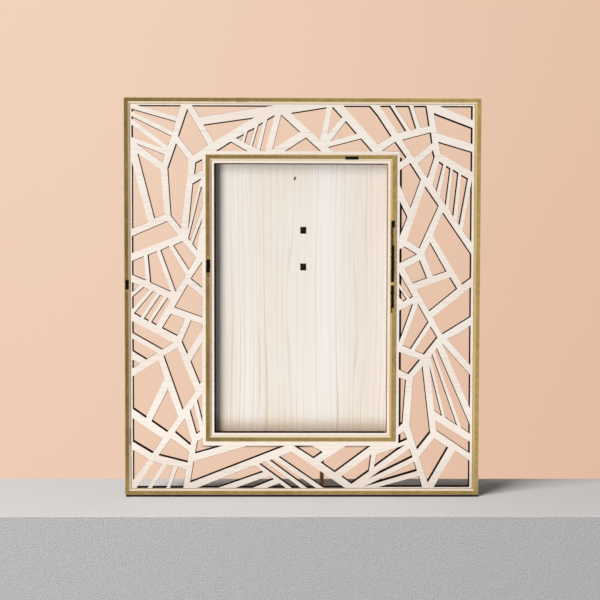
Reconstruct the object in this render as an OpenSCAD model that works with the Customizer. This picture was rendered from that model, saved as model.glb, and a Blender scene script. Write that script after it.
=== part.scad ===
// Laser-cut picture frame: an open lattice sheet with two brass rims, and a swing-out strut behind.
// X runs across the frame, Y runs from its front to its back, and Z runs up from the surface it stands on.
// X = 0 is the middle of the width and Y = 0 is the middle of the bottom rim's depth.

/* [Frame] */
// Width over the outer brass rim
frame_w = 187; // [140:1:260]
// Height over the outer brass rim
frame_h = 209; // [160:1:300]
// Thickness of the lattice sheet
panel_t = 5.2; // [3:0.1:8]
// Wood left between the outer rim and the lattice, left side
border_left = 0.9; // [0.4:0.1:6]
// Wood left between the outer rim and the lattice, right side
border_right = 1.4; // [0.4:0.1:6]
// Wood left between the outer rim and the lattice, bottom
border_bottom = 0.4; // [0.4:0.1:6]
// Wood left between the outer rim and the lattice, top
border_top = 0.8; // [0.4:0.1:6]
// Thickness of the felt strip under the bottom rim
felt_t = 1.1; // [0.5:0.1:3]
// How far the felt strip stays in from the rim's edges
felt_inset = 0.4; // [0.2:0.1:1.5]

/* [Brass rims] */
// Width of both brass rims
rim_w = 3.2; // [2:0.1:6]
// How far the rims stand in front of the lattice sheet
rim_proud = 1; // [0.6:0.1:3]
// Width of the bevel along each rim's inner edge
bevel_w = 1; // [0.4:0.1:1.4]
// Height of the small step left under the bevel
bevel_step = 0.2; // [0.1:0.05:0.4]
// Radius along each rim's outer front edge
edge_r = 0.5; // [0.1:0.1:0.5]
// Radius of the outer rim's four corners
corner_r = 0.8; // [0.2:0.1:3]

/* [Window] */
// Width of the print that the frame takes
print_w = 101.6; // [80:0.1:130]
// Height of the print that the frame takes
print_h = 152.4; // [120:0.1:180]
// How far the sheet covers each edge of the print
overlap = 5.3; // [3:0.1:8]
// Wood left between the window and the inner rim
lip_w = 1.4; // [0.5:0.1:4]
// Wood left between the inner rim and the lattice, top and sides
inner_border = 1.8; // [1:0.1:6]
// Wood left between the inner rim and the lattice, bottom
inner_border_bottom = 2.4; // [1:0.1:6]
// How far the window sits to the right of the frame's middle
window_shift = -0.8; // [-5:0.1:5]
// How far the window sits above the frame's middle
window_rise = -0.6; // [-5:0.1:5]

/* [Holder] */
// Thickness of the holder's rails
rail_t = 1.8; // [1.5:0.1:4]
// Thickness of the glass
glass_t = 1; // [0.8:0.1:3]
// How far the glass stands out above the board
glass_grip = 1.7; // [0:0.1:2]
// Play of the glass between the rails, on each side
glass_play = 0.2; // [0.1:0.05:0.5]
// Gap in front of the glass
glass_gap = 0.1; // [0.05:0.05:0.3]
// Gap behind the glass, where the print goes
print_gap = 0.3; // [0.2:0.1:2]
// Thickness of the backing board
board_t = 3; // [2:0.1:5]
// How far the holder sits to the right of the window's middle
holder_shift = 0.7; // [-2:0.1:2]
// How far the holder sits below the window's middle
holder_drop = 1.6; // [-2:0.1:2]

/* [Hinge] */
// How far the hinge's rivets sit to the right of the holder's middle
rivet_shift = 0.6; // [-5:0.1:5]
// Height of the upper rivet above the window's middle
upper_rivet_rise = 36.2; // [20:0.1:60]
// Distance between the two rivets
rivet_pitch = 19.5; // [12:0.1:40]
// Width of each rivet's square shank
shank_w = 2.8; // [1.2:0.1:4]
// Height of each rivet's square shank
shank_h = 3.3; // [1.2:0.1:4]
// Play round the shank in its holes, on each side
shank_play = 0.1; // [0.05:0.05:0.3]
// Diameter of each rivet's head
rivet_head_d = 6; // [3:0.1:8]
// Thickness of each rivet's head
rivet_head_t = 0.8; // [0.4:0.1:2]
// Distance from the rivets to the hinge pin
leaf_w = 11; // [8:0.5:25]
// Width of the fixed leaf beyond the rivets' middles, on three sides
leaf_margin = 4; // [2:0.1:8]
// Thickness of both hinge leaves
leaf_t = 1; // [0.5:0.1:2]
// Outer diameter of the hinge's knuckles
knuckle_d = 5; // [4:0.1:8]
// Height of each of the two fixed knuckles
knuckle_h = 5; // [3:0.1:8]
// Gap between the moving knuckle and each fixed one
knuckle_gap = 0.2; // [0.1:0.05:0.5]
// Diameter of the hinge pin
pin_d = 2; // [1.5:0.1:3]
// Play round the pin in its bores, on the radius
pin_play = 0.05; // [0.02:0.01:0.1]
// Diameter of the pin's head and of its cap
pin_head_d = 3.6; // [3:0.1:6]
// Thickness of the pin's head and of its cap
pin_head_t = 1; // [0.5:0.1:2]

/* [Strut] */
// Thickness of the strut
strut_t = 2; // [1.5:0.1:5]
// Width of the strut at its top
strut_top_w = 8; // [6:0.1:15]
// Reach of the strut behind the hinge pin
strut_reach = 24; // [20:1:70]
// Length of the strut's foot on the surface
strut_foot_l = 8; // [5:0.5:20]
// Height of the upright end of the strut's foot
strut_toe_h = 4; // [1:0.5:10]
// How far the strut's straight front edge goes on below the moving knuckle
strut_shoulder = 14; // [6:1:40]
// Reach of the moving leaf along the strut, behind the hinge pin
strut_leaf_w = 8; // [6:0.5:12]
// Diameter of the strut's two rivets
strut_rivet_d = 1.5; // [1:0.1:2.5]
// Play round the strut's rivets, on the radius
strut_rivet_play = 0.05; // [0.02:0.01:0.1]
// Diameter of the strut rivets' heads
strut_rivet_head_d = 3; // [2:0.1:4]
// Thickness of the strut rivets' heads
strut_rivet_head_t = 0.6; // [0.3:0.1:1]

/* [Hidden] */
$fn = 48;

// Depths, from the front of the rims to the back of the strut
rim_depth = rim_proud + panel_t;
rim_y = -rim_depth / 2;
panel_y = rim_y + rim_proud;
panel_back = panel_y + panel_t;
glass_y = panel_back + glass_gap;
board_y = glass_y + glass_t + print_gap;
board_back = board_y + board_t;
leaf_back = board_back + leaf_t;
pin_y = leaf_back + knuckle_d / 2 - 0.1;

// The sheet, which the outer rim goes round
panel_w = frame_w - 2 * rim_w;
panel_h = frame_h - 2 * rim_w;

// The window and its rim
window_w = print_w - 2 * overlap;
window_h = print_h - 2 * overlap;
window_z = frame_h / 2 + window_rise;
inner_rim_w = window_w + 2 * (lip_w + rim_w);
inner_rim_h = window_h + 2 * (lip_w + rim_w);

// The holder, open at the top, where the glass and the print slide in
holder_x = window_shift + holder_shift;
slot_w = print_w + 2 * glass_play;
glass_h = print_h + glass_grip;
holder_floor = window_z - holder_drop - print_h / 2;
holder_w = slot_w + 2 * rail_t;
holder_h = print_h + rail_t;
rail_depth = board_y - panel_back;

// The hinge: the fixed leaf has a knuckle at each end and the moving knuckle is between them
rivet_x = holder_x + rivet_shift;
upper_rivet_z = window_z + upper_rivet_rise;
lower_rivet_z = upper_rivet_z - rivet_pitch;
hinge_x = rivet_x + leaf_w;
leaf_bottom = lower_rivet_z - leaf_margin;
leaf_top = upper_rivet_z + leaf_margin;
moving_bottom = leaf_bottom + knuckle_h + knuckle_gap;
moving_top = leaf_top - knuckle_h - knuckle_gap;
moving_h = moving_top - moving_bottom;
bore_r = pin_d / 2 + pin_play;
hole_w = shank_w + 2 * shank_play;
hole_h = shank_h + 2 * shank_play;

// The strut, measured from the pin
strut_edge = knuckle_d / 2 + 0.2;
strut_clear = knuckle_d / 2 + 0.7;
strut_rivet_y = (strut_edge + strut_leaf_w) / 2;
strut_rivet_z = [moving_bottom + moving_h / 4, moving_top - moving_h / 4];

// The lattice is drawn for these edges, in the middle of the width and up from the rim's lower edge
drawn_left = -89.4;
drawn_right = 88.9;
drawn_bottom = 3.6;
drawn_top = 205;
drawn_inner_left = -52.7;
drawn_inner_right = 51.1;
drawn_inner_bottom = 26;
drawn_inner_top = 181.2;

// The same edges on the sheet as it is sized
x_map = [
  [drawn_left, -panel_w / 2 + border_left],
  [drawn_inner_left, window_shift - inner_rim_w / 2 - inner_border],
  [drawn_inner_right, window_shift + inner_rim_w / 2 + inner_border],
  [drawn_right, panel_w / 2 - border_right]
];
z_map = [
  [drawn_bottom, rim_w + border_bottom],
  [drawn_inner_bottom, window_z - inner_rim_h / 2 - inner_border_bottom],
  [drawn_inner_top, window_z + inner_rim_h / 2 + inner_border],
  [drawn_top, frame_h - rim_w - border_top]
];
x_stops = [drawn_inner_left, drawn_inner_right];
z_stops = [drawn_inner_bottom, drawn_inner_top];

// An outline with a corner added wherever an edge crosses a stop, so that a stretch can't fold it
function split(outline, axis, stops) = [
  for (i = [0 : len(outline) - 1])
    let (
      a = outline[i],
      b = outline[(i + 1) % len(outline)],
      crossed = [for (stop = stops) if ((a[axis] - stop) * (b[axis] - stop) < 0) stop]
    )
    each concat([a], [for (stop = crossed) a + (b - a) * (stop - a[axis]) / (b[axis] - a[axis])])
];

// An opening's outline on the sheet as it is sized
function placed(cut) = [
  for (p = split(split(cut, 0, x_stops), 1, z_stops))
    [lookup(p.x, x_map), lookup(p.y, z_map)]
];

// Corners of each opening along the top of the lattice
top_cuts = [
  [[-86.8, 205], [-63.8, 205], [-65.8, 198.9]],
  [[-89.4, 203.1], [-66.5, 196.7], [-68.1, 191.4], [-89.4, 201.7]],
  [[-89.4, 199.1], [-68.7, 189], [-70.7, 183.8], [-89.4, 197.9]],
  [[-89.4, 194.7], [-73.2, 182.7], [-89.4, 188.2]],
  [[-86.6, 184.9], [-72.3, 179.4], [-73.5, 175.3]],
  [[-60.5, 203], [-49.7, 184.4], [-57.2, 179.1], [-65.2, 189]],
  [[-57.7, 205], [-15.3, 205], [-53.9, 199]],
  [[-51.9, 195], [-25.3, 198.8], [-46.3, 186]],
  [[-45.3, 181.2], [-37.7, 186.1], [-29, 181.2]],
  [[-34.8, 188], [-30.9, 190.1], [-32, 186.6]],
  [[-30.5, 185.8], [-28.8, 191.6], [-25.3, 193.3], [-28, 184.6]],
  [[-26.5, 183.8], [-23.2, 194.9], [-20.9, 196.2], [-24.1, 182.9]],
  [[-22.4, 181.6], [-18.6, 197.7], [-14.7, 200], [-19.5, 181.4]],
  [[-15.9, 182.1], [-11.3, 200.3], [-1.3, 191.3]],
  [[-9.4, 181.2], [1.7, 188.4], [9.6, 181.2]],
  [[-6.2, 201.2], [12.5, 204.2], [9.1, 186.8]],
  [[15.6, 204.4], [20.6, 199], [12.9, 190]],
  [[14.4, 186.4], [22.6, 197], [28.3, 190.4]],
  [[13.4, 183.5], [30.6, 188], [36.6, 181.2], [16.5, 181.2]],
  [[21.3, 205], [35.1, 205], [39.4, 199.9], [46.4, 189.3], [39, 185]],
  [[40.4, 205], [45.8, 205], [54.1, 192.1], [49.8, 191]],
  [[48.3, 205], [55.7, 205], [59.4, 193.4], [56.6, 192.4]],
  [[58, 205], [64.7, 205], [66.4, 194.6], [61.8, 193.8]],
  [[71.9, 205], [88.9, 205], [88.9, 197.8]],
  [[68.7, 201.3], [88.9, 193.7], [88.9, 185.3], [70.6, 190.8]],
  [[52.2, 187.4], [67.1, 191.3], [67.9, 185.7], [58.6, 178.2]],
  [[41.6, 181.6], [48.6, 186.3], [54.4, 178.2], [51.1, 175.9], [51.1, 181.2]]
];

// Corners of each opening down the right side of the lattice
right_cuts = [
  [[71.2, 186.4], [88.9, 181.2], [88.9, 170.7], [72.4, 180.1]],
  [[60.7, 174.9], [68.3, 181.7], [69.2, 178.4], [65.6, 167.5]],
  [[51.1, 171.5], [56.5, 175.2], [62.1, 166.6], [56.8, 151.9], [51.1, 163.6]],
  [[71.7, 176], [73.8, 174.6], [70.4, 160.5], [68.5, 164.3]],
  [[75.4, 173.8], [77.6, 172.4], [75.3, 153.3], [72.2, 158]],
  [[78.9, 171.9], [81.8, 170.1], [79.3, 147.3], [77.1, 151.5]],
  [[83.3, 169.2], [86.9, 167.2], [82.6, 142.7], [81.2, 144.8]],
  [[88.9, 166.8], [88.9, 134], [84.2, 140.2]],
  [[51.1, 155], [55.1, 147], [51.1, 136.9]],
  [[64.4, 163.2], [71.6, 152.8], [61.6, 130.6], [55, 135.1]],
  [[73.8, 149.6], [88.9, 127.7], [88.9, 115.2], [84.1, 111.6], [68.7, 137.4]],
  [[67.2, 133.8], [75.9, 118.6], [68.8, 116.1], [64.3, 127.8]],
  [[51.1, 130], [53.7, 131.4], [60.2, 127.5], [51.1, 122.9]],
  [[54, 120], [61.8, 124.2], [65.6, 115], [58.2, 112.3]],
  [[51.1, 117.7], [58.3, 105.2], [56.6, 104.2], [51.1, 112.2]],
  [[51.1, 109.4], [55, 103.8], [53.1, 102.6], [51.1, 104.9]],
  [[51.1, 97.8], [58.4, 101.1], [51.1, 80.8]],
  [[61, 101.2], [66.6, 91.7], [57.4, 77.5], [53, 79.4]],
  [[60.3, 109.1], [77.8, 115.4], [81.6, 109.3], [66.9, 97.3]],
  [[68.8, 94.4], [88.9, 110.3], [88.9, 94.5], [74.1, 85.3]],
  [[67.7, 89.4], [71.3, 83.5], [64.3, 74.6], [59.5, 76.8]],
  [[76.5, 82.9], [82.3, 85.4], [88.9, 90], [88.9, 69]],
  [[51.1, 75.9], [62.2, 71.7], [56.1, 64.2], [51.1, 66.7]],
  [[51.1, 62.3], [54.9, 60.9], [53.2, 38.1], [51.1, 36.3]],
  [[63.7, 68.2], [67.9, 33.1], [61, 24.3], [57, 37], [58.7, 62.2]],
  [[67.2, 69.4], [74.1, 42], [69.9, 44.9]],
  [[68.8, 74.7], [82.2, 37], [75.6, 41.4], [67.9, 72.9]],
  [[71.2, 77.9], [88.9, 37.6], [88.9, 32.6], [84.1, 36.1], [69.9, 76]],
  [[73.8, 80.5], [88.9, 63.9], [88.9, 46]],
  [[70.8, 39.6], [88.9, 28.4], [88.9, 22.2], [71.3, 34.1]],
  [[51.1, 31.8], [53.7, 33.6], [55.6, 29.5], [51.1, 27.5]]
];

// Corners of each opening along the bottom of the lattice
bottom_cuts = [
  [[-89.4, 23.7], [-81.2, 18.9], [-89.4, 7.6]],
  [[-87.5, 3.6], [-78.3, 17.4], [-74, 16.2], [-81.7, 3.6]],
  [[-79.4, 3.6], [-71.2, 15.8], [-68.3, 15.1], [-71.8, 3.6]],
  [[-69.8, 3.6], [-65.7, 14.5], [-61.6, 13.4], [-62.9, 3.6]],
  [[-75.8, 20.9], [-69.3, 29.9], [-60, 23.1], [-60.7, 17.1]],
  [[-59.2, 6.5], [-57.3, 17.5], [-28.4, 26], [-9.2, 26]],
  [[-56.5, 22], [-55.3, 28.6], [-52.7, 29.7], [-52.7, 26], [-42.5, 26]],
  [[-55.2, 3.6], [-25.3, 15.4], [-20.6, 12], [-44.3, 3.6]],
  [[-35.2, 3.6], [-17.5, 10], [-15, 8.2], [-26.2, 3.6]],
  [[-18.3, 3.6], [-11.9, 6], [-8.9, 3.6]],
  [[-22.6, 16.3], [-19.2, 17.6], [-0.7, 3.6], [-5.4, 3.6]],
  [[-17.1, 18.3], [-14.6, 18.9], [7.3, 3.6], [2.7, 3.6]],
  [[-12.4, 20.1], [-5.2, 22.8], [22.8, 3.6], [11.4, 3.6]],
  [[-4.2, 26], [5.2, 26], [10.8, 22.7], [6.1, 19.4]],
  [[9.9, 17.3], [23.3, 26], [36.4, 26], [17.5, 11.9]],
  [[21, 9.7], [36.6, 21.5], [35.4, 12.4], [26.3, 5.8]],
  [[38.3, 14.7], [39.5, 21.1], [53.8, 26.2]],
  [[36.1, 8.9], [56.8, 24.3], [58.5, 20]],
  [[34.2, 4.7], [59.5, 17.2], [60.9, 12.7]],
  [[40.8, 4], [62, 9.8], [63.7, 4]],
  [[62.1, 19.8], [70, 29.9], [77.5, 25], [66.8, 6.3]],
  [[69.9, 4], [81, 23.4], [88.9, 18], [88.9, 4]]
];

// Corners of each opening up the left side of the lattice
left_cuts = [
  [[-89.4, 175.8], [-81, 144.2], [-89.4, 140.6]],
  [[-86.5, 179.9], [-74.3, 171.4], [-72.3, 148.3], [-77.8, 146]],
  [[-66.3, 185], [-59.9, 176.4], [-60.1, 169.8], [-63.6, 140.7], [-69.2, 147.6], [-70.8, 172.2]],
  [[-56.1, 175.1], [-52.7, 176.9], [-52.7, 171.2], [-56.7, 169.2]],
  [[-57.7, 164.1], [-53.2, 166.8], [-60.2, 139.8]],
  [[-53.4, 162.3], [-52.7, 162.3], [-52.7, 151.9], [-58.8, 134.4], [-60, 135.6]],
  [[-52.7, 145.8], [-55.4, 129.6], [-57.8, 132.8]],
  [[-89.4, 136.7], [-71.2, 144.5], [-65.2, 136.9], [-89.4, 127.7]],
  [[-89.4, 123.6], [-83.4, 126], [-82.4, 113.5], [-89.4, 116.4]],
  [[-81.3, 126.8], [-76.5, 128.6], [-69.2, 107.5], [-80, 112.4]],
  [[-74.6, 129.2], [-70, 131.4], [-61.1, 116.5], [-66.8, 107.6]],
  [[-67.9, 131.8], [-62.9, 134], [-56.1, 125.5], [-59.7, 118.9]],
  [[-52.7, 123.4], [-52.7, 109.6], [-58.7, 114.4]],
  [[-89.4, 112.4], [-86.1, 110.8], [-89.4, 107.4]],
  [[-89.4, 104.8], [-83.4, 109.9], [-80.7, 108.3], [-89.4, 98.4]],
  [[-88.5, 96.2], [-78.7, 107.7], [-76.7, 106.6], [-85, 94.1]],
  [[-83.4, 93.4], [-74.9, 105.8], [-73, 104.9], [-81, 92.1]],
  [[-79.5, 91.5], [-71, 104.3], [-69.4, 102.9], [-76.9, 89.9]],
  [[-73.8, 88.4], [-69.1, 95.9], [-62, 93.1], [-65.9, 84.3]],
  [[-60.4, 111.2], [-52.7, 105], [-52.7, 94], [-67.4, 99.3]],
  [[-58.6, 92.4], [-52.7, 90.3], [-52.7, 87.8], [-60.6, 74.8], [-63.5, 81.2]],
  [[-89.4, 92], [-68.1, 80.9], [-74, 77], [-89.4, 85.8]],
  [[-89.4, 82.7], [-76.6, 75.4], [-82.2, 71.8], [-89.4, 76.3]],
  [[-89.4, 71.5], [-85.8, 69.6], [-89.4, 67.3]],
  [[-89.4, 62.9], [-76, 71.2], [-72.7, 61.5], [-82.4, 40.9], [-89.4, 45.7]],
  [[-73.1, 73.5], [-65.6, 78], [-56.2, 55], [-63.2, 45.2]],
  [[-70.7, 56.4], [-65.5, 41.7], [-71.3, 33.3], [-79.5, 39.1]],
  [[-52.7, 80.7], [-52.7, 60.8], [-54.1, 58.9], [-58.9, 70.7]],
  [[-89.4, 40.7], [-73.8, 30], [-79.1, 22.1], [-89.4, 28.3]],
  [[-67.2, 33.2], [-61.8, 40.4], [-58.5, 28.9], [-59.2, 26.5]],
  [[-59.3, 44.4], [-57, 47.3], [-54, 33.7], [-55.9, 32.4]],
  [[-55.5, 50.2], [-52.7, 53.7], [-52.7, 38.9]]
];
all_cuts = concat(top_cuts, right_cuts, bottom_cuts, left_cuts);

// A flat sheet standing upright at depth y, from an outline drawn across and up
module sheet(y, t) {
  translate([0, y + t, 0])
    rotate([90, 0, 0])
      linear_extrude(t)
        children();
}

// Puts what is drawn from the rim's lower edge on top of the felt
module on_felt() {
  translate([0, 0, felt_t])
    children();
}

// A round hole or shaft along X, from x = 0
module along_x(h, r) {
  rotate([0, 90, 0])
    cylinder(h = h, r = r);
}

// The lattice sheet, cut from one piece of plywood
module lattice_panel() {
  color("antiquewhite")
    on_felt()
      sheet(panel_y, panel_t)
        difference() {
          translate([-panel_w / 2, rim_w])
            square([panel_w, panel_h]);
          translate([window_shift - window_w / 2, window_z - window_h / 2])
            square([window_w, window_h]);
          for (cut = all_cuts)
            polygon(placed(cut));
        }
}

// A brass bar along X with mitred ends: its outer side is at z = 0, with a rounded edge, and its bevel faces up
module rim_bar(length, depth) {
  intersection() {
    translate([-length / 2, 0, 0])
      rotate([90, 0, 90])
        linear_extrude(length)
          polygon([
            for (a = [0 : 15 : 90]) edge_r * [1 - sin(a), 1 - cos(a)],
            [0, rim_w - bevel_w],
            [rim_proud - bevel_step, rim_w],
            [depth, rim_w],
            [depth, 0]
          ]);
    sheet(0, depth)
      polygon([
        [-length / 2, 0],
        [length / 2, 0],
        [length / 2 - rim_w, rim_w],
        [-length / 2 + rim_w, rim_w]
      ]);
  }
}

// One side of a mitred rim of size w by h about the point (x, z)
module rim_side(side, w, h, x, z, depth) {
  turn = side == "bottom" ? 0 : side == "top" ? 180 : side == "left" ? 90 : -90;
  upright = side == "left" || side == "right";
  reach = (upright ? w : h) / 2;
  color("darkgoldenrod")
    on_felt()
      translate([x, rim_y, z])
        rotate([0, turn, 0])
          translate([0, 0, -reach])
            rim_bar(upright ? h : w, depth);
}

// What a rounded corner takes off: the corner is at the origin and the sheet lies to the right of it and above
module corner_waste() {
  difference() {
    translate([-1, -1])
      square(corner_r + 1);
    translate([corner_r, corner_r])
      circle(r = corner_r);
  }
}

// The outer rim goes round the edge of the lattice sheet, and its four corners are rounded
module outer_rim(side) {
  difference() {
    rim_side(side, frame_w, frame_h, 0, frame_h / 2, rim_depth);
    on_felt()
      sheet(rim_y - 1, rim_depth + 2)
        for (corner = [[-1, 0, 0], [1, 0, 90], [1, 1, 180], [-1, 1, 270]])
          translate([corner[0] * frame_w / 2, corner[1] * frame_h])
            rotate(corner[2])
              corner_waste();
  }
}

// The inner rim lies on the face of the lattice sheet round the window
module inner_rim(side) {
  rim_side(side, inner_rim_w, inner_rim_h, window_shift, window_z, rim_proud);
}

// One of the two upright rails that guide the glass
module holder_rail(side) {
  color("burlywood")
    on_felt()
      translate([
        holder_x + side * (slot_w + rail_t) / 2 - rail_t / 2,
        panel_back,
        holder_floor
      ])
        cube([rail_t, rail_depth, print_h]);
}

// The rail that the glass stands on
module holder_rail_bottom() {
  color("burlywood")
    on_felt()
      translate([holder_x - holder_w / 2, panel_back, holder_floor - rail_t])
        cube([holder_w, rail_depth, rail_t]);
}

// The square holes for the hinge's rivets
module rivet_holes() {
  for (z = [upper_rivet_z, lower_rivet_z])
    translate([rivet_x - hole_w / 2, z - hole_h / 2])
      square([hole_w, hole_h]);
}

// The backing board closes the holder and has two square holes for the hinge's rivets
module backing_board() {
  color("wheat")
    on_felt()
      sheet(board_y, board_t)
        difference() {
          translate([holder_x - holder_w / 2, holder_floor - rail_t])
            square([holder_w, holder_h]);
          rivet_holes();
        }
}

// The glass stands on the bottom rail and slides out at the top
module glass_pane() {
  color("lightcyan", 0.3)
    on_felt()
      translate([holder_x - print_w / 2, glass_y, holder_floor])
        cube([print_w, glass_t, glass_h]);
}

// The fixed leaf lies on the board, and its knuckles stand at its right-hand edge
module hinge_leaf() {
  left = rivet_x - leaf_margin;
  color("dimgray")
    on_felt()
      difference() {
        union() {
          sheet(board_back, leaf_t)
            difference() {
              translate([left, leaf_bottom])
                square([hinge_x - left, leaf_top - leaf_bottom]);
              translate([hinge_x - knuckle_d / 2 - 0.5, moving_bottom - knuckle_gap])
                square([knuckle_d, moving_h + 2 * knuckle_gap]);
              rivet_holes();
            }
          for (z = [leaf_bottom, moving_top + knuckle_gap])
            translate([hinge_x, pin_y, z])
              cylinder(h = knuckle_h, d = knuckle_d);
        }
        translate([hinge_x, pin_y, leaf_bottom - 1])
          cylinder(h = leaf_top - leaf_bottom + 2, r = bore_r);
      }
}

// A rivet with a square shank through the leaf and the board, flush with the board's front
module hinge_rivet(z) {
  color("black")
    on_felt()
      translate([rivet_x, 0, z]) {
        translate([-shank_w / 2, board_y, -shank_h / 2])
          cube([shank_w, board_t + leaf_t + rivet_head_t / 2, shank_h]);
        translate([0, leaf_back, 0])
          rotate([-90, 0, 0])
            cylinder(h = rivet_head_t, d = rivet_head_d);
      }
}

// The steel pin drops through the knuckles and hangs from its head
module hinge_pin() {
  pin_l = leaf_top - leaf_bottom + pin_head_t;
  color("silver")
    on_felt()
      translate([hinge_x, pin_y, leaf_top]) {
        cylinder(h = pin_head_t, d = pin_head_d);
        translate([0, 0, -pin_l])
          cylinder(h = pin_l + pin_head_t / 2, d = pin_d);
      }
}

// The cap on the lower end of the pin
module hinge_pin_cap() {
  color("silver")
    on_felt()
      translate([hinge_x, pin_y, leaf_bottom - pin_head_t])
        difference() {
          cylinder(h = pin_head_t, d = pin_head_d);
          translate([0, 0, -pin_head_t])
            cylinder(h = 3 * pin_head_t, r = bore_r);
        }
}

// The moving leaf: a knuckle on the pin, and a plate along the strut's right-hand side
module strut_leaf() {
  color("dimgray")
    on_felt()
      translate([hinge_x, pin_y, 0])
        difference() {
          union() {
            translate([0, 0, moving_bottom])
              cylinder(h = moving_h, d = knuckle_d);
            translate([strut_t / 2, 0, moving_bottom])
              cube([leaf_t, strut_leaf_w, moving_h]);
          }
          translate([0, 0, moving_bottom - 1])
            cylinder(h = moving_h + 2, r = bore_r);
          for (z = strut_rivet_z)
            translate([0, strut_rivet_y, z])
              along_x(strut_t + leaf_t, strut_rivet_d / 2 + strut_rivet_play);
        }
}

// A rivet through the moving leaf and the strut, with its head on the leaf
module strut_rivet(z) {
  color("black")
    on_felt()
      translate([hinge_x - strut_t / 2, pin_y + strut_rivet_y, z]) {
        along_x(strut_t + leaf_t + strut_rivet_head_t / 2, strut_rivet_d / 2);
        translate([strut_t + leaf_t, 0, 0])
          along_x(strut_rivet_head_t, strut_rivet_head_d / 2);
      }
}

// The strut is a plywood leg that reaches back to the surface
module strut() {
  color("burlywood")
    translate([hinge_x - strut_t / 2, pin_y, 0])
      difference() {
        rotate([90, 0, 90])
          linear_extrude(strut_t)
            polygon([
              [strut_edge, felt_t + moving_top],
              [strut_edge + strut_top_w, felt_t + moving_top],
              [strut_reach, strut_toe_h],
              [strut_reach, 0],
              [strut_reach - strut_foot_l, 0],
              [strut_clear, felt_t + moving_bottom - strut_shoulder],
              [strut_clear, felt_t + moving_bottom],
              [strut_edge, felt_t + moving_bottom]
            ]);
        for (z = strut_rivet_z)
          translate([-strut_t, strut_rivet_y, felt_t + z])
            along_x(3 * strut_t, strut_rivet_d / 2 + strut_rivet_play);
      }
}

// The felt strip that the frame stands on
module base_felt() {
  felt_l = frame_w - 2 * felt_inset;
  felt_w = rim_depth - 2 * felt_inset;
  color("black")
    translate([-felt_l / 2, -felt_w / 2, 0])
      cube([felt_l, felt_w, felt_t]);
}

lattice_panel();
outer_rim("top");  // outer_rim_top
outer_rim("bottom");  // outer_rim_bottom
outer_rim("left");  // outer_rim_left
outer_rim("right");  // outer_rim_right
inner_rim("top");  // inner_rim_top
inner_rim("bottom");  // inner_rim_bottom
inner_rim("left");  // inner_rim_left
inner_rim("right");  // inner_rim_right
holder_rail(-1);  // holder_rail_left
holder_rail(1);  // holder_rail_right
holder_rail_bottom();
backing_board();
glass_pane();
hinge_leaf();
hinge_rivet(upper_rivet_z);  // hinge_rivet_upper
hinge_rivet(lower_rivet_z);  // hinge_rivet_lower
hinge_pin();
hinge_pin_cap();
strut_leaf();
strut_rivet(strut_rivet_z[1]);  // strut_rivet_upper
strut_rivet(strut_rivet_z[0]);  // strut_rivet_lower
strut();
base_felt();
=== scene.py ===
import itertools
import math

import bpy
from mathutils import Matrix, Vector


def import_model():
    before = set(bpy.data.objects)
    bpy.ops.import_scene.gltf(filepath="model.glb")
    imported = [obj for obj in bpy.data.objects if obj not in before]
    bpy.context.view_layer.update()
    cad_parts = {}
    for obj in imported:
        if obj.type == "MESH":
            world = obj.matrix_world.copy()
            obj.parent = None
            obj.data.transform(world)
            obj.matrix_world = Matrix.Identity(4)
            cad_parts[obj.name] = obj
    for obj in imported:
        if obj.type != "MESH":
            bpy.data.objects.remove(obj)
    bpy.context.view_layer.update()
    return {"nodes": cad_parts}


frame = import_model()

MM = 0.001
nodes = frame["nodes"]

# The part's own axes
ACROSS, DEPTH, UP = 0, 1, 2

# Camera, fitted to the corners of the photographed frame
CAMERA_PLACE = (-6.88 * MM, -559.77 * MM, 126.4 * MM)
CAMERA_TURN = math.radians(0.579)
CAMERA_DIP = math.radians(2.262)
CAMERA_ROLL = math.radians(0.125)
CAMERA_SENSOR = 36.0
CAMERA_FOCAL_PIXELS = 1060
IMAGE_PIXELS = 600

# The shelf that the frame stands on
SHELF_FRONT = -46.0 * MM
SHELF_BACK = 43.5 * MM
SHELF_HALF_LENGTH = 0.9
SHELF_HEIGHT = 0.25
SHELF_SKIN = 0.01 * MM

# Soft lamps, by side (from the front to the left) and rise in degrees, and by size in metres
LAMP_DISTANCE = 2.6
LAMP_AIM = (0, 0, 0.1)
LAMPS = {
    "frame": [
        {"side": 32, "rise": 4, "strength": 1.34, "width": 1.2, "height": 3.9},
        {"side": -150, "rise": 30, "strength": 0.55, "width": 1.5, "height": 1.5},
    ],
    "shelf_top": [
        {"side": 46, "rise": 3.4, "strength": 13.3, "width": 1.7, "height": 0.2},
    ],
    "shelf_body": [
        {"side": 38, "rise": 28, "strength": 1.3, "width": 1.1, "height": 0.9},
        {"side": -150, "rise": 10, "strength": 0.7, "width": 1.5, "height": 1.5},
    ],
}

# The weak even light that comes from all round
FILL_LEVEL = 0.16

# Where the wall changes from its left to its right and from its low to its high colours: a painted
# falloff of light, paler at the left and at the top
WALL_ACROSS = (-0.27, 0.41)
WALL_UP = (-0.24, 0.24)

# The room in front, which the brass reflects, and where it gives way to the wall behind
ROOM_PALE_TO_DULL = (0.2, 0.9)
ROOM_TO_WALL = (-0.2, 0.2)

# The room's dark strip, at the left behind the camera
DARK_LEFT = -0.85
DARK_MIDDLE = -0.47
DARK_RIGHT = 0.50
DARK_ENDS = (0.40, 0.85)

# How far back the marks and painted glints on the sheet and its rims, and the marks and painted
# shade on the board, reach, in millimetres
SHEET_MARKS_AND_GLINTS_END = -1.7
BOARD_MARKS_AND_SHADE_END = 6.0

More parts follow.
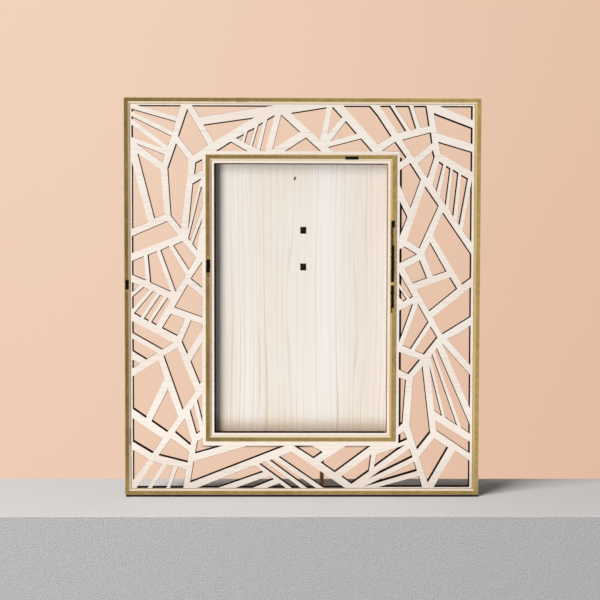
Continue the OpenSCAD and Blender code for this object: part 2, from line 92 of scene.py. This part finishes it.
# Places across and up the frame, in millimetres
RIM_INNER_CORNERS = [(x, z) for x in (-90.3, 90.3) for z in (4.3, 206.9)]
WINDOW_RIGHT_WALL = ((43.4, 45.3), (34.0, 176.0))
BOARD_PALE_MIDDLE = ((-17.0, 25.0), (50.0, 162.0))
BOARD_SPECK = [(-4.25, 168.3), (-3.8, 168.9)]
# Painted glints: bright golden spots of painted highlight on the side rims, across and up in
# millimetres
RIM_PAINTED_GLINTS = [(-49.5, 126.9), (-92.0, 108.7), (47.5, 113.1)]

# Dark patches on the rims, from and to across, from and to up in millimetres, and how dark
LEVEL_DARK_PATCHES = [
    ((22.2, 29.3), (178.0, 179.7), 1.0),
    ((-34.9, -28.6), (207.5, 210.2), 0.25),
]
UPRIGHT_DARK_PATCHES = [
    ((-50.6, -48.4), (118.6, 125.7), 1.0),
    ((-50.4, -48.7), (116.4, 119.0), 0.7),
    ((46.5, 48.6), (142.4, 146.2), 1.0),
    ((46.4, 47.8), (132.8, 142.8), 0.9),
    ((46.5, 48.3), (113.8, 133.4), 1.0),
    ((46.5, 48.2), (100.0, 112.3), 1.0),
    ((46.5, 47.4), (97.6, 100.3), 0.9),
    ((-93.1, -91.0), (109.6, 114.9), 1.0),
    ((-90.9, -90.5), (27.7, 36.7), 0.9),
    ((-93.3, -91.2), (173.0, 177.4), 0.25),
]

WHITE = (1.0, 1.0, 1.0, 1.0)


def tone(red, green, blue):
    """A linear colour from its 0 to 255 screen values"""
    values = [c / 255 for c in (red, green, blue)]
    linear = [c / 12.92 if c <= 0.04045 else ((c + 0.055) / 1.055) ** 2.4 for c in values]
    return (*linear, 1.0)


def stretched(scale, axis, along):
    """One scale for all three axes, with another along one of them"""
    scales = [scale, scale, scale]
    scales[axis] = along
    return scales


class Graph:
    """A node tree, with a short call for each kind of node that the looks are made of"""

    def __init__(self, tree):
        self.tree = tree

    def put(self, socket, value):
        if isinstance(value, bpy.types.NodeSocket):
            self.tree.links.new(value, socket)
        else:
            socket.default_value = value

    def add(self, kind, inputs=None, **settings):
        node = self.tree.nodes.new(kind)
        for name, value in settings.items():
            setattr(node, name, value)
        for name, value in (inputs or {}).items():
            self.put(node.inputs[name], value)
        return node

    def math(self, operation, first, second=0.0):
        node = self.add("ShaderNodeMath", {0: first, 1: second}, operation=operation)
        return node.outputs[0]

    def product(self, first, *others):
        for other in others:
            first = self.math("MULTIPLY", first, other)
        return first

    def times(self, vector, factors):
        node = self.add("ShaderNodeVectorMath", {0: vector, 1: factors}, operation="MULTIPLY")
        return node.outputs[0]

    def plus(self, vector, offset):
        node = self.add("ShaderNodeVectorMath", {0: vector, 1: offset}, operation="ADD")
        return node.outputs[0]

    def axes(self, vector):
        return self.add("ShaderNodeSeparateXYZ", {0: vector}).outputs

    def ease(self, value, low, high, start=0.0, end=1.0):
        inputs = {"Value": value, 1: low, 2: high, 3: start, 4: end}
        return self.add("ShaderNodeMapRange", inputs, interpolation_type="SMOOTHSTEP").outputs[0]

    def mix(self, factor, first, second):
        node = self.add("ShaderNodeMix", {0: factor, 6: first, 7: second}, data_type="RGBA")
        return node.outputs[2]

    def shade(self, colour, factor):
        if isinstance(colour, tuple):
            colour = colour[:3]
        node = self.add("ShaderNodeVectorMath", {0: colour, "Scale": factor}, operation="SCALE")
        return node.outputs[0]


class Look(Graph):
    """A material that knows each point's place in millimetres and the way that it faces"""

    def __init__(self, name):
        self.material = bpy.data.materials.new(name)
        self.material.use_nodes = True
        super().__init__(self.material.node_tree)
        self.surface = self.tree.nodes["Principled BSDF"]
        point = self.add("ShaderNodeTexCoord")
        self.place = self.times(point.outputs["Object"], (1 / MM, 1 / MM, 1 / MM))
        self.facing = point.outputs["Normal"]

    def set(self, name, value):
        self.put(self.surface.inputs[name], value)

    def noise(self, scales, detail, roughness=0.5, offset=(0, 0, 0)):
        """Noise over the part, with its repeats in a millimetre along each axis"""
        if isinstance(scales, float):
            scales = (scales, scales, scales)
        inputs = {
            "Vector": self.plus(self.times(self.place, scales), offset),
            "Scale": 1.0,
            "Detail": detail,
            "Roughness": roughness,
        }
        return self.add("ShaderNodeTexNoise", inputs).outputs[0]

    def bump(self, height, depth, strength):
        inputs = {"Height": height, "Distance": depth, "Strength": strength}
        self.set("Normal", self.add("ShaderNodeBump", inputs).outputs[0])

    def face(self, axis, low, high):
        """1 where the surface faces along an axis, 0 where it faces across it"""
        side = self.math("ABSOLUTE", self.axes(self.facing)[axis])
        return self.ease(side, low, high)

    def ragged(self, amount):
        """The place, pushed about by noise"""
        inputs = {"Vector": self.place, "Scale": 0.9, "Detail": 2.0}
        push = self.add("ShaderNodeTexNoise", inputs).outputs[1]
        push = self.times(self.plus(push, (-0.5, -0.5, -0.5)), (amount, amount, amount))
        return self.axes(self.plus(self.place, push))

    def before(self, depth):
        """1 in front of a depth, 0 behind it"""
        soft = 0.3
        return self.ease(self.axes(self.place)[DEPTH], depth - soft, depth + soft, 1.0, 0.0)

    def inside(self, place, across, up, soft):
        """1 inside two ranges, across and up"""
        masks = []
        for axis, (start, end) in ((ACROSS, across), (UP, up)):
            masks.append(self.ease(place[axis], start - soft, start + soft))
            masks.append(self.ease(place[axis], end - soft, end + soft, 1.0, 0.0))
        return self.product(*masks)

    def dot(self, place, spot, radius):
        """1 at a spot given across and up, and 0 beyond its radius"""
        level = self.add("ShaderNodeCombineXYZ", {0: place[ACROSS], 2: place[UP]}).outputs[0]
        offset = self.plus(level, (-spot[0], 0, -spot[1]))
        length = self.add("ShaderNodeVectorMath", {0: offset}, operation="LENGTH").outputs["Value"]
        return self.ease(length, radius * 0.4, radius, 1.0, 0.0)


def growth_lines(look, along, across, spacing, wander, sharp, shift):
    """Growth lines along a sheet: irregular and gently waving, and each fades out on one side"""
    peak = 0.93
    waves = look.noise(stretched(0.035, along, 0.009), detail=1.0, offset=(shift, shift, shift))
    uneven = [0.0, 0.0, 0.0]
    uneven[across] = 0.31
    uneven[along] = 0.0012
    jitter = look.noise(uneven, detail=0.0)
    drift = look.math("ADD", look.product(waves, wander), look.product(jitter, 1.2))
    even = look.math("DIVIDE", look.axes(look.place)[across], spacing)
    ring = look.math("FRACT", look.math("ADD", even, drift))
    rise = look.ease(ring, 1 - sharp, peak)
    fall = look.ease(ring, peak, 1.0, 1.0, 0.0)
    return look.product(rise, fall)


def charred(look, depth_axis):
    """The colour of a laser-cut wall: dark char with streaks through the thickness"""
    veneer_thickness = 1.0
    streaks = look.noise(stretched(5.0, depth_axis, 0.25), detail=3.0, roughness=0.6)
    layers = look.math("PINGPONG", look.axes(look.place)[depth_axis], veneer_thickness)
    burnt = look.mix(look.ease(streaks, 0.35, 0.75), tone(15, 6, 2), tone(44, 22, 9))
    brown = look.mix(look.ease(streaks, 0.4, 0.7), tone(26, 11, 4), tone(60, 32, 14))
    return look.mix(look.ease(layers, 0.35, 0.65), burnt, brown), streaks


def wood_face(look, along, across, tones, spacing, sharp, strength, fibre):
    """The face of a plywood sheet: broad pale bands, growth lines and fine fibres"""
    pale, warm, line = tones
    bands = look.noise(stretched(0.05, along, 0.0025), detail=2.0, offset=(3, 1, 8))
    wood = look.mix(look.ease(bands, 0.35, 0.65), pale, warm)
    for scale, shift, share in ((1.0, 0.0, 1.0), (0.47, 4.0, 0.5)):
        lines = growth_lines(look, along, across, spacing * scale, 2.3 / scale, sharp, shift)
        fading = look.noise(stretched(0.23, along, 0.004), detail=1.0, offset=(7 + shift, 3, 5))
        lines = look.product(lines, look.ease(fading, 0.35, 0.7, 0.08, strength * share))
        wood = look.mix(lines, wood, line)
    fibres = look.noise(stretched(2.6, along, 0.05), detail=3.0, roughness=0.65)
    return look.shade(wood, look.ease(fibres, 0.2, 0.8, 1 - fibre, 1.0)), fibres


def finish_wood(look, depth_axis, wood, fibres, edge_tone, lightly=0.0):
    """Puts char on the cut walls, lightly in places, and a thin brown line along their edges"""
    char, streaks = charred(look, depth_axis)
    char = look.mix(lightly, char, tone(176, 140, 104))
    facing = look.face(depth_axis, 0.80, 0.97)
    wall = look.mix(look.face(depth_axis, 0.20, 0.60), char, edge_tone)
    look.set("Base Color", look.mix(facing, wall, wood))
    even = look.ease(fibres, 0.2, 0.8, 0.62, 0.78)
    look.set("Roughness", look.math("MAXIMUM", even, look.ease(facing, 0.0, 1.0, 0.95, 0.0)))
    look.set("Specular IOR Level", 0.1)
    look.bump(look.mix(facing, streaks, fibres), 0.04 * MM, 0.5)
    return look.material


def panel_wood():
    """Pale plywood with a faint level grain, and dark brown dots at the rim's inner corners"""
    look = Look("panel_wood")
    tones = (tone(249, 240, 230), tone(246, 233, 221), tone(226, 208, 190))
    wood, fibres = wood_face(
        look, ACROSS, UP, tones, spacing=3.1, sharp=0.42, strength=0.5, fibre=0.05
    )
    place = look.ragged(0.5)
    front = look.before(SHEET_MARKS_AND_GLINTS_END)
    for corner in RIM_INNER_CORNERS:
        dark_corner_dot = look.product(look.dot(place, corner, 0.7), front)
        wood = look.mix(dark_corner_dot, wood, tone(120, 84, 56))
    lightly = look.inside(look.axes(look.place), *WINDOW_RIGHT_WALL, soft=0.2)
    return finish_wood(look, DEPTH, wood, fibres, tone(58, 32, 17), lightly)


def board_wood():
    """Plywood with upright tan growth lines, paler in its middle, with a dark speck and painted
    shade along the bottom and left edge of its front
    """
    look = Look("board_wood")
    tones = (tone(246, 240, 234), tone(241, 231, 217), tone(214, 191, 154))
    wood, fibres = wood_face(
        look, UP, ACROSS, tones, spacing=3.5, sharp=0.28, strength=0.75, fibre=0.06
    )
    place = look.ragged(0.6)
    front = look.before(BOARD_MARKS_AND_SHADE_END)
    middle = look.inside(look.axes(look.place), *BOARD_PALE_MIDDLE, soft=16.0)
    wood = look.mix(look.product(middle, front, 0.45), wood, tone(244, 240, 236))
    # Painted shade: a brown band that darkens the front towards the bottom of the window
    painted_foot_shade = look.ease(place[UP], 36.5, 43.0, 0.45, 0.0)
    wood = look.mix(look.product(painted_foot_shade, front), wood, tone(205, 172, 138))
    # Painted shade: a dark band along the left edge of the front, under the window's lip
    painted_left_shade = look.ease(place[ACROSS], -46.1, -45.5, 0.8, 0.0)
    wood = look.mix(look.product(painted_left_shade, front), wood, tone(60, 46, 36))
    for spot in BOARD_SPECK:
        speck = look.product(look.dot(place, spot, 0.75), front)
        wood = look.mix(speck, wood, tone(24, 14, 8))
    return finish_wood(look, DEPTH, wood, fibres, tone(110, 78, 50))


def strut_wood():
    """Plywood of the leg, with its grain along the leg and its cut edges lightly charred"""
    look = Look("strut_wood")
    tones = (tone(232, 211, 182), tone(224, 199, 166), tone(188, 150, 108))
    wood, fibres = wood_face(
        look, UP, DEPTH, tones, spacing=2.6, sharp=0.55, strength=0.9, fibre=0.08
    )
    return finish_wood(look, ACROSS, wood, fibres, tone(98, 66, 42), lightly=0.65)


def rail_wood():
    """Dark stained wood of the holder's rails, left bare along the bottom rail's lower edge"""
    look = Look("rail_wood")
    fibres = look.noise(stretched(3.0, UP, 0.3), detail=4.0, roughness=0.65)
    stained = look.mix(look.ease(fibres, 0.3, 0.7), tone(26, 16, 10), tone(62, 42, 28))
    bare = look.ease(look.axes(look.place)[UP], 26.2, 26.6, 1.0, 0.0)
    look.set("Base Color", look.mix(bare, stained, tone(236, 200, 174)))
    look.set("Roughness", look.ease(fibres, 0.3, 0.7, 0.55, 0.75))
    look.bump(fibres, 0.04 * MM, 0.5)
    return look.material


def brass_flat(look, brushed):
    """The brass of a rim's flat, cloudy and blotched, with painted shade that darkens it near the
    shelf
    """
    cloudy = look.noise(0.09, detail=3.0)
    blotches = look.noise(0.42, detail=4.0, roughness=0.6)
    flat = look.mix(look.ease(cloudy, 0.35, 0.65), tone(212, 181, 113), tone(224, 195, 126))
    flat = look.shade(flat, look.ease(blotches, 0.35, 0.65, 0.86, 1.04))
    flat = look.shade(flat, look.ease(brushed, 0.25, 0.75, 0.90, 1.0))
    # Painted shade: darker in the lowest few millimetres, near the shelf
    return look.shade(flat, look.ease(look.axes(look.place)[UP], 1.5, 6.0, 0.84, 1.0))


def brass_bevel_painted_reflection(look, brushed):
    """The brass of a rim's bevel: a painted reflection, pale like the wood it mirrors and golden
    where it faces left
    """
    # Painted reflection: golden where the bevel faces left, pale cream elsewhere
    golden_painted_reflection = look.ease(look.axes(look.facing)[ACROSS], -0.55, -0.25, 1.0, 0.0)
    bevel = look.mix(golden_painted_reflection, tone(250, 234, 206), tone(230, 198, 138))
    return look.shade(bevel, look.ease(brushed, 0.25, 0.75, 0.95, 1.0))


def rim_brass(name, along, dark_patches, painted_glints):
    """Aged brass, brushed along the strip, with a bevel painted paler as a reflection and a few dark
    patches
    """
    look = Look(name)
    brushed = look.noise(stretched(6.0, along, 0.08), detail=3.0, roughness=0.6)
    tilt = look.math("ABSOLUTE", look.axes(look.facing)[DEPTH])
    on_bevel = look.product(look.ease(tilt, 0.72, 0.76), look.ease(tilt, 0.80, 0.84, 1.0, 0.0))
    # The bevel takes its colour from a painted reflection
    metal = look.mix(on_bevel, brass_flat(look, brushed), brass_bevel_painted_reflection(look, brushed))
    place = look.ragged(0.7)
    front = look.before(SHEET_MARKS_AND_GLINTS_END)
    dark = 0.0
    for across, up, darkness in dark_patches:
        patch = look.product(look.inside(place, across, up, soft=0.3), darkness)
        dark = look.math("MAXIMUM", dark, patch)
    dark = look.product(dark, front)
    # Painted glints: bright golden spots of painted highlight
    for spot in painted_glints:
        glint = look.product(look.dot(place, spot, 1.0), front)
        metal = look.mix(glint, metal, tone(246, 226, 140))
    look.set("Base Color", look.mix(dark, metal, tone(14, 10, 6)))
    look.set("Metallic", look.ease(dark, 0.0, 1.0, 1.0, 0.0))
    brushing = look.ease(brushed, 0.25, 0.75, 0.30, 0.40)
    look.set("Roughness", look.math("ADD", brushing, look.product(dark, 0.3)))
    look.set("Specular IOR Level", 0.1)
    look.bump(brushed, 0.01 * MM, 0.4)
    return look.material


def level_brass():
    """Brass of the top and bottom rims"""
    return rim_brass("rim_brass_level", ACROSS, LEVEL_DARK_PATCHES, painted_glints=[])


def upright_brass():
    """Brass of the side rims, which has a few painted golden glints too"""
    return rim_brass("rim_brass_upright", UP, UPRIGHT_DARK_PATCHES, RIM_PAINTED_GLINTS)


def glass():
    """Clear coated picture glass with greenish cut edges, which lets the light through"""
    look = Look("glass")
    look.set("Base Color", look.mix(look.face(DEPTH, 0.3, 0.8), tone(96, 150, 130), WHITE))
    look.set("Transmission Weight", 1.0)
    look.set("IOR", 1.2)
    smudge = look.noise(0.05, detail=2.0)
    look.set("Roughness", look.ease(smudge, 0.4, 0.8, 0.0, 0.02))
    path = look.add("ShaderNodeLightPath").outputs
    passed = look.math("MAXIMUM", path["Is Shadow Ray"], path["Is Diffuse Ray"])
    clear = look.add("ShaderNodeBsdfTransparent", {"Color": WHITE})
    shaders = {0: passed, 1: look.surface.outputs[0], 2: clear.outputs[0]}
    mixed = look.add("ShaderNodeMixShader", shaders)
    output = look.tree.nodes["Material Output"]
    look.put(output.inputs["Surface"], mixed.outputs[0])
    return look.material


def black_steel(name, dark, worn):
    """Blackened steel, worn a little brighter in places"""
    look = Look(name)
    spots = look.noise(0.8, detail=5.0, roughness=0.65)
    look.set("Base Color", look.mix(look.ease(spots, 0.5, 0.75), dark, worn))
    look.set("Metallic", 0.3)
    look.set("Specular IOR Level", 0.15)
    look.set("Roughness", look.ease(spots, 0.3, 0.7, 0.65, 0.45))
    look.bump(spots, 0.02 * MM, 0.5)
    return look.material


def pin_steel():
    """Plain turned steel with fine rings round the pin"""
    look = Look("pin_steel")
    rings = look.noise(stretched(0.6, UP, 9.0), detail=3.0, roughness=0.6)
    steel = look.mix(look.ease(rings, 0.3, 0.7), tone(176, 175, 172), tone(206, 205, 203))
    look.set("Base Color", steel)
    look.set("Metallic", 1.0)
    look.set("Roughness", look.ease(rings, 0.3, 0.7, 0.25, 0.4))
    look.bump(rings, 0.01 * MM, 0.4)
    return look.material


def felt():
    """Black felt with loose fibres"""
    look = Look("felt")
    fluff = look.noise(7.0, detail=5.0, roughness=0.7)
    look.set("Base Color", look.mix(look.ease(fluff, 0.35, 0.7), tone(18, 17, 17), tone(52, 49, 48)))
    look.set("Roughness", look.ease(fluff, 0.3, 0.7, 0.85, 1.0))
    look.set("Sheen Weight", 0.1)
    look.bump(fluff, 0.12 * MM, 0.9)
    return look.material


def dress(node, material, edge=0.0, segments=1):
    """Gives a CAD node its material and, where asked, softens its edges"""
    piece = nodes[node]
    piece.data.materials.clear()
    piece.data.materials.append(material)
    weld = piece.modifiers.new("weld", "WELD")
    weld.merge_threshold = 0.0005 * MM
    if edge:
        bevel = piece.modifiers.new("edges", "BEVEL")
        bevel.width = edge
        bevel.segments = segments
        bevel.limit_method = "ANGLE"
        bevel.angle_limit = math.radians(30)
        bevel.use_clamp_overlap = False


def dress_all():
    """Every CAD node with its material and the size of its softened edges"""
    steel = black_steel("hinge_steel", tone(24, 21, 19), tone(60, 56, 52))
    ends = black_steel("rivet_steel", tone(9, 6, 4), tone(28, 22, 16))
    bright = pin_steel()
    rail = rail_wood()
    level = level_brass()
    upright = upright_brass()
    dress("lattice_panel", panel_wood(), 0.14 * MM)
    dress("backing_board", board_wood(), 0.12 * MM)
    dress("strut", strut_wood(), 0.12 * MM)
    dress("glass_pane", glass(), 0.2 * MM)
    dress("base_felt", felt(), 0.08 * MM)
    for rim in ("outer_rim", "inner_rim"):
        for side in ("top", "bottom"):
            dress(f"{rim}_{side}", level)
        for side in ("left", "right"):
            dress(f"{rim}_{side}", upright)
    for side in ("left", "right", "bottom"):
        dress(f"holder_rail_{side}", rail, 0.15 * MM)
    for node in ("hinge_leaf", "strut_leaf"):
        dress(node, steel, 0.1 * MM)
    for node in ("hinge_rivet_upper", "hinge_rivet_lower"):
        dress(node, ends, 0.1 * MM)
    for node in ("strut_rivet_upper", "strut_rivet_lower"):
        dress(node, steel, 0.08 * MM)
    for node in ("hinge_pin", "hinge_pin_cap"):
        dress(node, bright, 0.12 * MM, segments=2)


def scene_object(name, data):
    """An object of the scene round the frame"""
    piece = bpy.data.objects.new(name, data)
    bpy.context.scene.collection.objects.link(piece)
    return piece


def shelf_look(name, colour, spread, depth):
    """Pale grey shelf material with a fine leathery texture"""
    look = Look(name)
    grainy = look.noise(1.3, detail=3.0, roughness=0.65)
    look.set("Base Color", look.shade(colour, look.ease(grainy, 0.35, 0.65, *spread)))
    look.set("Roughness", 0.8)
    look.set("Specular IOR Level", 0.2)
    look.bump(grainy, depth, 1.0)
    return look.material


def box_mesh(name, low, high):
    """A box between two corners"""
    corners = list(itertools.product(*zip(low, high)))
    faces = [(0, 1, 3, 2), (4, 6, 7, 5), (0, 4, 5, 1), (2, 3, 7, 6), (0, 2, 6, 4), (1, 5, 7, 3)]
    mesh = bpy.data.meshes.new(name)
    mesh.from_pydata(corners, [], faces)
    return mesh


def shelf():
    """The shelf under the frame: its body and the thin skin of its top"""
    top = shelf_look("shelf_top", tone(178, 176, 175), (0.985, 1.0), 0.03 * MM)
    body = shelf_look("shelf_body", tone(189, 188, 188), (0.92, 1.04), 0.42 * MM)
    pieces = {}
    for name, material, low, high in (
        ("shelf_top", top, -SHELF_SKIN, 0),
        ("shelf_body", body, -SHELF_HEIGHT, -SHELF_SKIN),
    ):
        start = (-SHELF_HALF_LENGTH, SHELF_FRONT, low)
        end = (SHELF_HALF_LENGTH, SHELF_BACK, high)
        pieces[name] = scene_object(name, box_mesh(name, start, end))
        pieces[name].data.materials.append(material)
    return pieces


def world():
    """A peach wall, a plain room that the metal in front reflects, and an even light all round"""
    scene_world = bpy.data.worlds.new("studio")
    scene_world.use_nodes = True
    bpy.context.scene.world = scene_world
    look = Graph(scene_world.node_tree)
    way = look.axes(look.add("ShaderNodeTexCoord").outputs["Generated"])

    # Painted falloff of light on the wall: paler at the left and at the top
    across = look.ease(way[ACROSS], *WALL_ACROSS)
    low = look.mix(across, tone(238, 204, 180), tone(226, 186, 161))
    high = look.mix(across, tone(242, 210, 188), tone(229, 192, 167))
    wall = look.mix(look.ease(way[UP], *WALL_UP), low, high)

    dull = look.ease(way[ACROSS], *ROOM_PALE_TO_DULL)
    sides = look.mix(dull, tone(255, 252, 248), tone(190, 176, 162))
    left = look.ease(way[ACROSS], DARK_LEFT, DARK_MIDDLE)
    right = look.ease(way[ACROSS], DARK_MIDDLE, DARK_RIGHT, 1.0, 0.0)
    ends = look.ease(look.math("ABSOLUTE", way[UP]), *DARK_ENDS, 1.0, 0.0)
    room = look.mix(look.product(left, right, ends), sides, tone(30, 27, 24))
    mirrored = look.mix(look.ease(way[DEPTH], *ROOM_TO_WALL), room, wall)

    path = look.add("ShaderNodeLightPath").outputs
    direct = look.math("MAXIMUM", path["Is Camera Ray"], path["Is Transmission Ray"])
    fill = (FILL_LEVEL, FILL_LEVEL, FILL_LEVEL, 1.0)
    seen = look.mix(direct, look.mix(path["Is Glossy Ray"], fill, mirrored), wall)
    background = look.tree.nodes["Background"]
    look.put(background.inputs["Color"], seen)
    background.inputs["Strength"].default_value = 1.0


def lamp(name, lit, side, rise, strength, width, height):
    """A soft lamp for one group of objects: at strength 1, colours that face it render as written"""
    side = math.radians(side)
    rise = math.radians(rise)
    light = bpy.data.lights.new(name, "AREA")
    light.shape = "RECTANGLE"
    light.size = width
    light.size_y = height
    light.energy = strength * (math.pi * LAMP_DISTANCE) ** 2
    level = math.cos(rise)
    way = Vector((-math.sin(side) * level, -math.cos(side) * level, math.sin(rise)))
    piece = scene_object(name, light)
    piece.location = Vector(LAMP_AIM) + way * LAMP_DISTANCE
    piece.rotation_euler = way.to_track_quat("Z", "Y").to_euler()
    piece.visible_glossy = False
    piece.visible_transmission = False
    piece.light_linking.receiver_collection = lit


def lamps(lit_groups):
    """The frame, the shelf's top and its body have lamps of their own"""
    for group, pieces in lit_groups.items():
        lit = bpy.data.collections.new(f"lit_{group}")
        for piece in pieces:
            lit.objects.link(piece)
        for number, values in enumerate(LAMPS[group], 1):
            lamp(f"{group}_lamp_{number}", lit, **values)


def camera():
    """The camera at the photograph's place"""
    forward = Vector((
        math.sin(CAMERA_TURN) * math.cos(CAMERA_DIP),
        math.cos(CAMERA_TURN) * math.cos(CAMERA_DIP),
        -math.sin(CAMERA_DIP),
    ))
    level = Vector((math.cos(CAMERA_TURN), -math.sin(CAMERA_TURN), 0))
    upright = level.cross(forward)
    right = level * math.cos(CAMERA_ROLL) + upright * math.sin(CAMERA_ROLL)
    up = right.cross(forward)
    lens = bpy.data.cameras.new("camera")
    lens.sensor_width = CAMERA_SENSOR
    lens.lens = CAMERA_SENSOR * CAMERA_FOCAL_PIXELS / IMAGE_PIXELS
    lens.clip_start = 10 * MM
    piece = scene_object("camera", lens)
    turn = Matrix((right, up, -forward)).transposed().to_4x4()
    piece.matrix_world = Matrix.Translation(CAMERA_PLACE) @ turn
    bpy.context.scene.camera = piece


bpy.context.scene.view_settings.view_transform = "Standard"
dress_all()
world()
staged = shelf()
lamps({"frame": nodes.values(), **{name: [piece] for name, piece in staged.items()}})
camera()
